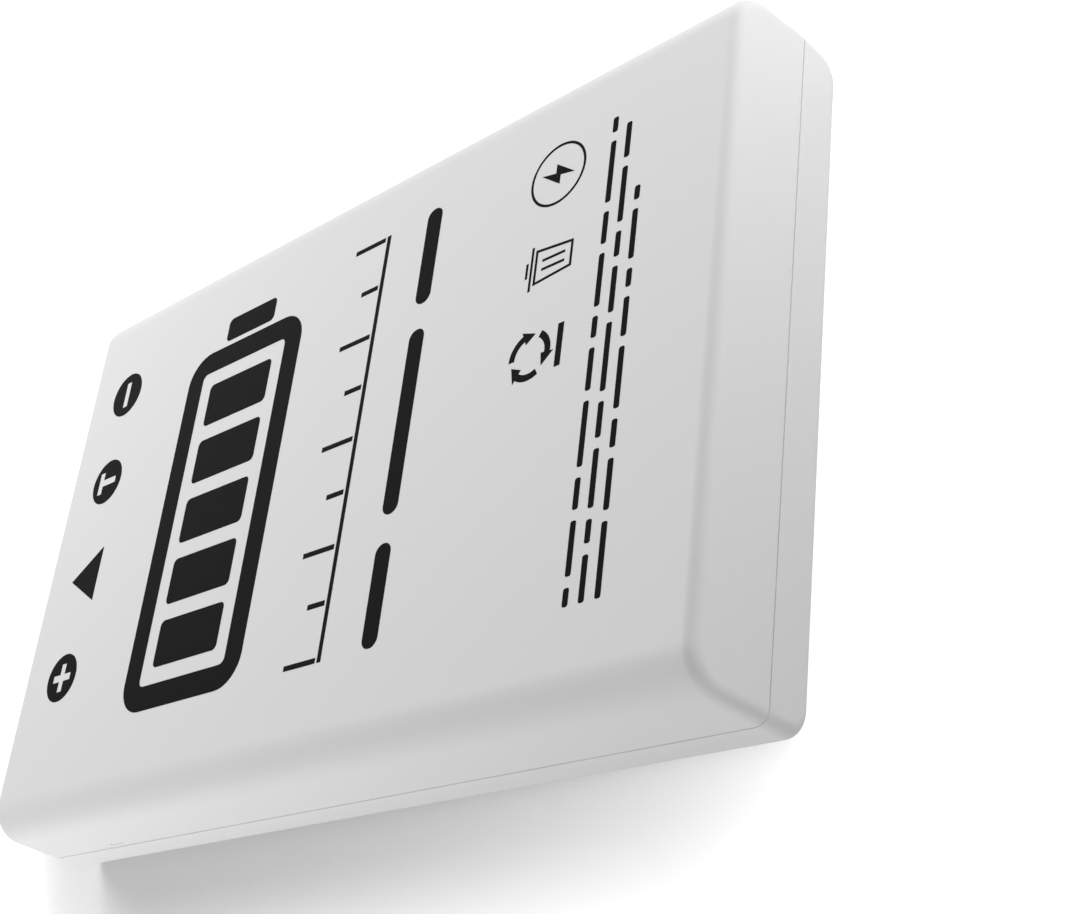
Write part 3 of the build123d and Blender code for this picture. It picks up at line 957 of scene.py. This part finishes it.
class BATTERY_OT_inner_finishes(bpy.types.Operator):
    """Finishes of the contacts, the board and the cell"""

    bl_idname = "battery.inner_finishes"
    bl_label = "Inner finishes"

    def execute(self, context):
        colours = context.scene.battery_finishes
        self.finish_metals(colours)
        self.finish_plastics(colours)
        return {"FINISHED"}

    def put_on(self, material, *names):
        for name in names:
            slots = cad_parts[name].data.materials
            slots.clear()
            slots.append(material)

    def finish_metals(self, colours):
        across, along = (4000, 300, 4000), (250, 7000, 7000)
        gold = drawn("contact_gold", colours.gold, Stretch=across, Roughness=0.24)
        self.put_on(gold, *CONTACTS)
        can = drawn(
            "cell_aluminium", colours.aluminium, bump=0.25, distance=0.02, Stretch=along, Roughness=0.32
        )
        self.put_on(can, "cell_can", "cell_cap", "fill_plug")
        strip = drawn("nickel", colours.nickel, Stretch=across, Roughness=0.3)
        self.put_on(strip, "cell_terminal", "positive_tab", "negative_tab")

    def finish_plastics(self, colours):
        gasket = grained("gasket_plastic", colours.gasket, Grain=0.2, Roughness=0.55)
        self.put_on(gasket, "terminal_gasket")
        card = grained(
            "insulating_card", colours.card, bump=0.5, distance=0.04, Mottle=0.25, Grain=0.35, Roughness=0.85
        )
        self.put_on(card, "cap_insulator")
        board = grained("board_laminate", colours.board, Mottle=0.25, Grain=0.2, Roughness=0.35)
        self.put_on(board, "circuit_board")
        package = grained("chip_package", colours.package, bump=0.4, Grain=0.3, Grains=9000, Roughness=0.6)
        self.put_on(package, "protection_ic", "switch_transistor")
        ceramic = grained("chip_ceramic", colours.ceramic, Grain=0.25, Grains=8000, Roughness=0.5)
        self.put_on(ceramic, "chip_capacitors")
        glaze = grained("resistor_ceramic", colours.resistor, Grain=0.25, Grains=8000, Roughness=0.4)
        self.put_on(glaze, "thermistor", "chip_resistors")
        tape = grained(
            "adhesive_tape", colours.tape, bump=0.4, distance=0.03, Mottle=0.08, Grain=0.15, Roughness=0.7
        )
        self.put_on(tape, "front_tape", "rear_tape")
        grain = {"Mottle": 0.2, "Grain": 0.6, "Grains": 3500}
        foam = grained("pad_foam", colours.foam, bump=0.8, distance=0.08, Roughness=0.9, **grain)
        self.put_on(foam, "end_pad")


class BATTERY_OT_stage(bpy.types.Operator):
    """White floor with a painted shadow of the object, soft lights and the camera"""

    bl_idname = "battery.stage"
    bl_label = "Stage"

    # Occlusion samples for the floor's painted shadow
    PAINTED_SHADOW_SAMPLES = 8

    def execute(self, context):
        scene = context.scene
        stage = scene.battery_stage
        self.make_floor(stage)
        self.make_sky(scene, stage)
        for name in ("key", "end", "side", "fill"):
            self.make_light(scene, stage, name)
        self.make_camera(scene, stage)
        scene.view_settings.view_transform = "Standard"
        return {"FINISHED"}

    def make_light(self, scene, stage, name):
        lamp = bpy.data.lights.new(name + "_light", "AREA")
        lamp.size = getattr(stage, name + "_size")
        lamp.energy = getattr(stage, name + "_power")
        light = bpy.data.objects.new(name + "_light", lamp)
        light.location = getattr(stage, name + "_place")
        light.rotation_euler = light.location.to_track_quat("Z", "Y").to_euler()
        light.visible_camera = False
        scene.collection.objects.link(light)

    def make_camera(self, scene, stage):
        lens = bpy.data.cameras.new("camera")
        lens.sensor_width = stage.sensor
        lens.lens = stage.lens
        lens.shift_x = stage.shift_x
        lens.shift_y = stage.shift_y
        lens.clip_start = stage.clip_start
        camera = bpy.data.objects.new("camera", lens)
        camera.location = stage.camera_place
        camera.rotation_euler = Euler(stage.camera_turn)
        scene.collection.objects.link(camera)
        scene.camera = camera

    def seen_plainly(self, nodes):
        """1 for rays that show the background itself: camera, glossy and transmission."""
        path = nodes.add("ShaderNodeLightPath").outputs
        seen = nodes.math("MAXIMUM", path["Is Camera Ray"], path["Is Glossy Ray"])
        return nodes.math("MAXIMUM", seen, path["Is Transmission Ray"])

    def make_floor(self, stage):
        bm = bmesh.new()
        bmesh.ops.create_grid(bm, x_segments=1, y_segments=1, size=stage.floor_size / 2)
        floor = mesh_object("floor", bm)
        material = bpy.data.materials.new("floor_white")
        nodes = emptied(material)
        grey = (stage.floor_grey, stage.floor_grey, stage.floor_grey, 1)
        matte = nodes.add("ShaderNodeBsdfDiffuse", Color=grey)
        # The floor's white for the camera, with the object's painted shadow in it
        lift = nodes.math("MULTIPLY", self.seen_plainly(nodes), self.lift_with_painted_shadow(nodes, stage))
        glow = nodes.add("ShaderNodeEmission", Color=(1, 1, 1, 1), Strength=lift)
        both = nodes.add("ShaderNodeAddShader")
        nodes.feed(both.inputs[0], matte.outputs[0])
        nodes.feed(both.inputs[1], glow.outputs[0])
        nodes.add("ShaderNodeOutputMaterial", Surface=both.outputs[0])
        floor.data.materials.append(material)

    def lift_with_painted_shadow(self, nodes, stage):
        """White that makes up for the lamps' fall over the floor, with a painted shadow of the object in it,
        darker at the contact end than at the plain end.
        """
        place = nodes.add("ShaderNodeTexCoord").outputs["Object"]
        reach = nodes.add("ShaderNodeVectorMath", {"operation": "LENGTH"})
        nodes.feed(reach.inputs[0], place)
        far = reach.outputs["Value"]
        lift = nodes.ranged(far, stage.near_reach, stage.far_reach, stage.near_lift, stage.far_lift)
        # Painted shadow: ambient occlusion about a tilted normal darkens the lift near the object, raised to
        # a power that falls from the contact end to the plain end
        side = nodes.add("ShaderNodeCombineXYZ", **dict(zip("XYZ", stage.painted_shadow_from))).outputs["Vector"]
        samples = {"samples": self.PAINTED_SHADOW_SAMPLES}
        shaded = nodes.add("ShaderNodeAmbientOcclusion", samples, Distance=stage.painted_shadow_reach, Normal=side)
        along = nodes.add("ShaderNodeSeparateXYZ", Vector=place).outputs["X"]
        depth = nodes.ranged(along, CAD_LOW.x, CAD_HIGH.x, stage.painted_shadow_depth, stage.painted_shadow_fade)
        return nodes.math("MULTIPLY", lift, nodes.math("POWER", shaded.outputs["AO"], depth))

    def make_sky(self, scene, stage):
        world = bpy.data.worlds.new("sky")
        nodes = emptied(world)
        level = nodes.ranged(self.seen_plainly(nodes), 0, 1, stage.sky, 1)
        light = nodes.add("ShaderNodeBackground", Color=(1, 1, 1, 1), Strength=level)
        nodes.add("ShaderNodeOutputWorld", Surface=light.outputs[0])
        scene.world = world


SETTINGS = {
    "battery_mouldings": MouldingSizes,
    "battery_marks": MarkSizes,
    "battery_gauge": GaugeSizes,
    "battery_rows": RowSizes,
    "battery_signs": SignSizes,
    "battery_finishes": FinishColours,
    "battery_stage": StageSettings,
}
OPERATORS = (
    BATTERY_OT_case,
    BATTERY_OT_cover,
    BATTERY_OT_marks,
    BATTERY_OT_gauge,
    BATTERY_OT_scale,
    BATTERY_OT_rows,
    BATTERY_OT_signs,
    BATTERY_OT_inner_finishes,
    BATTERY_OT_stage,
)


class BATTERY_PT_panel(bpy.types.Panel):
    """Lists the pieces of the battery and their settings"""

    bl_idname = "BATTERY_PT_panel"
    bl_label = "Camera battery"
    bl_space_type = "VIEW_3D"
    bl_region_type = "UI"
    bl_category = "Battery"

    def draw(self, context):
        for operator in OPERATORS:
            self.layout.operator(operator.bl_idname)
        for name, group in SETTINGS.items():
            box = self.layout.box()
            for setting in group.__annotations__:
                box.prop(getattr(context.scene, name), setting)


def register():
    for name, group in SETTINGS.items():
        bpy.utils.register_class(group)
        setattr(bpy.types.Scene, name, PointerProperty(type=group))
    for operator in OPERATORS:
        bpy.utils.register_class(operator)
    bpy.utils.register_class(BATTERY_PT_panel)


def unregister():
    bpy.utils.unregister_class(BATTERY_PT_panel)
    for operator in reversed(OPERATORS):
        bpy.utils.unregister_class(operator)
    for name, group in SETTINGS.items():
        delattr(bpy.types.Scene, name)
        bpy.utils.unregister_class(group)


def main():
    register()
    bpy.ops.battery.case()
    bpy.ops.battery.cover()
    bpy.ops.battery.marks()
    bpy.ops.battery.gauge()
    bpy.ops.battery.scale()
    bpy.ops.battery.rows()
    bpy.ops.battery.signs()
    bpy.ops.battery.inner_finishes()
    bpy.ops.battery.stage()


if __name__ == "__main__":
    main()
